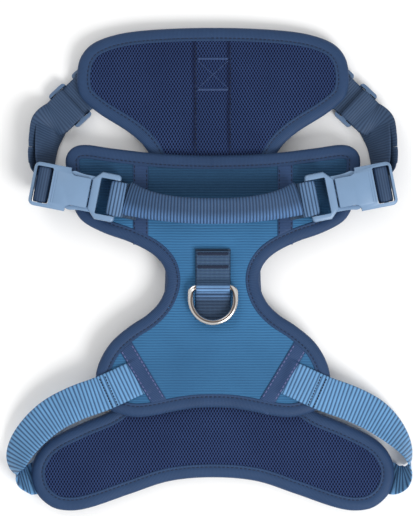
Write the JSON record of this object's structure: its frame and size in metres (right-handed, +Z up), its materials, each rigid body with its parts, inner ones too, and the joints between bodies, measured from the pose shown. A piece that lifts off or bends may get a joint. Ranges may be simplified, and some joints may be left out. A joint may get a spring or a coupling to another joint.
{
  "type": "no pull dog harness",
  "caption": "Padded dog harness laid flat: hourglass back panel over a mesh-lined chest and belly panel, webbing straps, side release buckles, grab handle and leash rings.",
  "frame": {"origin": "on the floor under the middle of the harness laid flat", "axes": "+Y towards the neck edge of the chest panel, +X to the side, +Z up through the back panel and handle"},
  "size_m": [0.2882, 0.346, 0.0446],
  "materials": {
    "ribbed_fabric": "fine cross-ribbed woven polyester, matt",
    "foam_core": "soft open foam",
    "air_mesh": "knitted air mesh with small holes",
    "edge_binding": "folded grosgrain binding with a line of stitches",
    "navy_tape": "woven tape",
    "navy_webbing": "ribbed nylon webbing",
    "blue_webbing": "ribbed nylon webbing with a slight sheen",
    "buckle_plastic": "satin moulded acetal",
    "ring_steel": "polished welded steel",
    "thread": "bonded thread"
  },
  "bodies": {
    "harness": {"underbody_outer_fabric": "ribbed_fabric", "underbody_foam": "foam_core", "underbody_mesh_lining": "air_mesh", "underbody_edge_binding": "edge_binding", "back_mesh_lining": "air_mesh", "back_foam": "foam_core", "back_outer_fabric": "ribbed_fabric", "back_edge_binding": "edge_binding", "wing_tape_left": "navy_tape", "wing_tape_right": "navy_tape", "corner_tape_left": "navy_tape", "corner_tape_right": "navy_tape", "rear_ring_rest_strip": "navy_tape", "rear_ring_loop": "blue_webbing", "front_ring_strip": "navy_tape", "front_ring_loop": "navy_tape", "buckle_tab_left": "blue_webbing", "buckle_tab_right": "blue_webbing", "male_clip_left": "buckle_plastic", "male_clip_right": "buckle_plastic", "shoulder_strap_left": "navy_webbing", "shoulder_strap_right": "navy_webbing", "shoulder_ring_left": "buckle_plastic", "shoulder_ring_right": "buckle_plastic", "chest_tab_left": "navy_tape", "chest_tab_right": "navy_tape", "belly_strap_left": "blue_webbing", "belly_strap_right": "blue_webbing", "belly_ring_left": "buckle_plastic", "belly_ring_right": "buckle_plastic", "belly_tab_left": "navy_tape", "belly_tab_right": "navy_tape", "bar_tacks": "thread"},
    "rear_ring": {"rear_leash_ring": "ring_steel"},
    "front_ring": {"front_leash_ring": "ring_steel"},
    "handle": {"grab_handle": "blue_webbing"},
    "left_female": {"female_shell_left": "buckle_plastic"},
    "left_upper_latch": {"latch_arm_left_upper": "buckle_plastic"},
    "left_lower_latch": {"latch_arm_left_lower": "buckle_plastic"},
    "left_shoulder_slider": {"shoulder_slider_left": "buckle_plastic"},
    "left_belly_slider": {"belly_slider_left": "buckle_plastic"},
    "right_female": {"female_shell_right": "buckle_plastic"},
    "right_upper_latch": {"latch_arm_right_upper": "buckle_plastic"},
    "right_lower_latch": {"latch_arm_right_lower": "buckle_plastic"},
    "right_shoulder_slider": {"shoulder_slider_right": "buckle_plastic"},
    "right_belly_slider": {"belly_slider_right": "buckle_plastic"}
  },
  "joints": [
    {"name": "rear_ring_swing", "type": "hinge", "parent": "harness", "child": "rear_ring", "pos_m": [0, -0.0129, 0.02325], "axis": [-1, 0, 0], "range_deg": [0, 160]},
    {"name": "front_ring_swing", "type": "hinge", "parent": "harness", "child": "front_ring", "pos_m": [0, 0.124, 0.003], "axis": [1, 0, 0], "range_deg": [0, 150]},
    {"name": "handle_lift", "type": "hinge", "parent": "harness", "child": "handle", "pos_m": [0, 0.0495, 0.0255], "axis": [-1, 0, 0], "range_deg": [0, 40]},
    {"name": "left_buckle_release", "type": "slide", "parent": "harness", "child": "left_female", "axis": [-0.9816, 0.1908, 0], "range_m": [0, 0.026], "deforming": ["shoulder_strap_left"]},
    {"name": "left_upper_latch_press", "type": "hinge", "parent": "harness", "child": "left_upper_latch", "pos_m": [-0.08408, 0.0642, 0.0245], "axis": [0, 0, 1], "range_deg": [0, 12.1], "stiffness_Nm_per_rad": 0.05},
    {"name": "left_lower_latch_press", "type": "hinge", "parent": "harness", "child": "left_lower_latch", "pos_m": [-0.08836, 0.04222, 0.0245], "axis": [0, 0, -1], "range_deg": [0, 12.1], "stiffness_Nm_per_rad": 0.05},
    {"name": "left_shoulder_adjust", "type": "slide", "parent": "harness", "child": "left_shoulder_slider", "axis": [-0.7314, -0.682, 0], "range_m": [-0.002, 0.01], "deforming": ["shoulder_strap_left"]},
    {"name": "left_belly_adjust", "type": "slide", "parent": "harness", "child": "left_belly_slider", "axis": [-1, 0, 0], "range_m": [-0.007, 0.003]},
    {"name": "right_buckle_release", "type": "slide", "parent": "harness", "child": "right_female", "axis": [0.9816, 0.1908, 0], "range_m": [0, 0.026], "deforming": ["shoulder_strap_right"]},
    {"name": "right_upper_latch_press", "type": "hinge", "parent": "harness", "child": "right_upper_latch", "pos_m": [0.08408, 0.0642, 0.0245], "axis": [0, 0, -1], "range_deg": [0, 12.1], "stiffness_Nm_per_rad": 0.05},
    {"name": "right_lower_latch_press", "type": "hinge", "parent": "harness", "child": "right_lower_latch", "pos_m": [0.08836, 0.04222, 0.0245], "axis": [0, 0, 1], "range_deg": [0, 12.1], "stiffness_Nm_per_rad": 0.05},
    {"name": "right_shoulder_adjust", "type": "slide", "parent": "harness", "child": "right_shoulder_slider", "axis": [0.7314, -0.682, 0], "range_m": [-0.002, 0.01], "deforming": ["shoulder_strap_right"]},
    {"name": "right_belly_adjust", "type": "slide", "parent": "harness", "child": "right_belly_slider", "axis": [1, 0, 0], "range_m": [-0.007, 0.003]}
  ],
  "couplings": [
    {"joint": "left_upper_latch_press", "follows": "left_buckle_release", "rad_per_m": 8.06},
    {"joint": "left_lower_latch_press", "follows": "left_buckle_release", "rad_per_m": 8.06},
    {"joint": "right_upper_latch_press", "follows": "right_buckle_release", "rad_per_m": 8.06},
    {"joint": "right_lower_latch_press", "follows": "right_buckle_release", "rad_per_m": 8.06}
  ]
}
